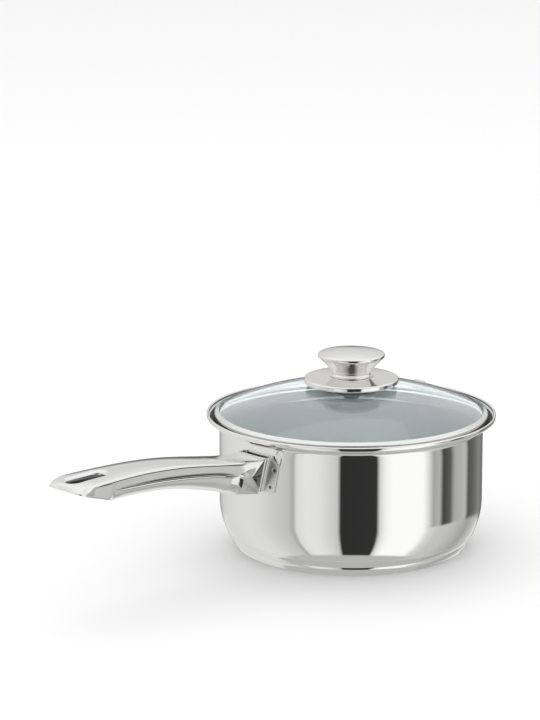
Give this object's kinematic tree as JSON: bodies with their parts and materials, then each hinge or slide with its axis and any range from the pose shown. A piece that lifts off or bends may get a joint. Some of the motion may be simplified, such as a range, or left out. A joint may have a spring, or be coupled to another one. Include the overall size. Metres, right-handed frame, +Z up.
{
  "type": "saucepan with glass lid",
  "caption": "Steel saucepan with one long hollow handle, a flared pouring rim and a capsule base, and a domed glass lid with a steel band, vent and knob.",
  "frame": {"origin": "centre of the flat underside of the base", "axes": "+Z up through the lid's knob, the handle points along -X, +Y to the side"},
  "size_m": [0.317, 0.1754, 0.1215],
  "materials": {
    "polished_steel": "mirror polished stainless steel",
    "handle_steel": "polished stainless steel",
    "satin_steel": "satin stainless steel",
    "aluminium": "rolled",
    "lid_glass": "clear tempered glass",
    "silicone": "translucent grey silicone"
  },
  "bodies": {
    "pan": {"pan_body": "polished_steel", "base_core": "aluminium", "base_cap": "polished_steel", "handle_bracket": "polished_steel", "handle_upper_shell": "handle_steel", "handle_lower_shell": "handle_steel"},
    "lid": {"lid_glass": "lid_glass", "lid_rim_band": "polished_steel", "rim_seal": "silicone", "vent_eyelet": "satin_steel", "vent_washer": "satin_steel", "knob_cap": "satin_steel", "knob_stem": "polished_steel", "knob_plate": "satin_steel", "upper_gasket": "silicone", "lower_gasket": "silicone", "under_washer": "satin_steel", "lock_washer": "satin_steel", "knob_screw": "satin_steel", "threaded_bush": "satin_steel"}
  },
  "joints": [
    {"name": "lid_lift", "type": "slide", "parent": "pan", "child": "lid", "axis": [0, 0, 1], "range_m": [0, 0.12]}
  ]
}
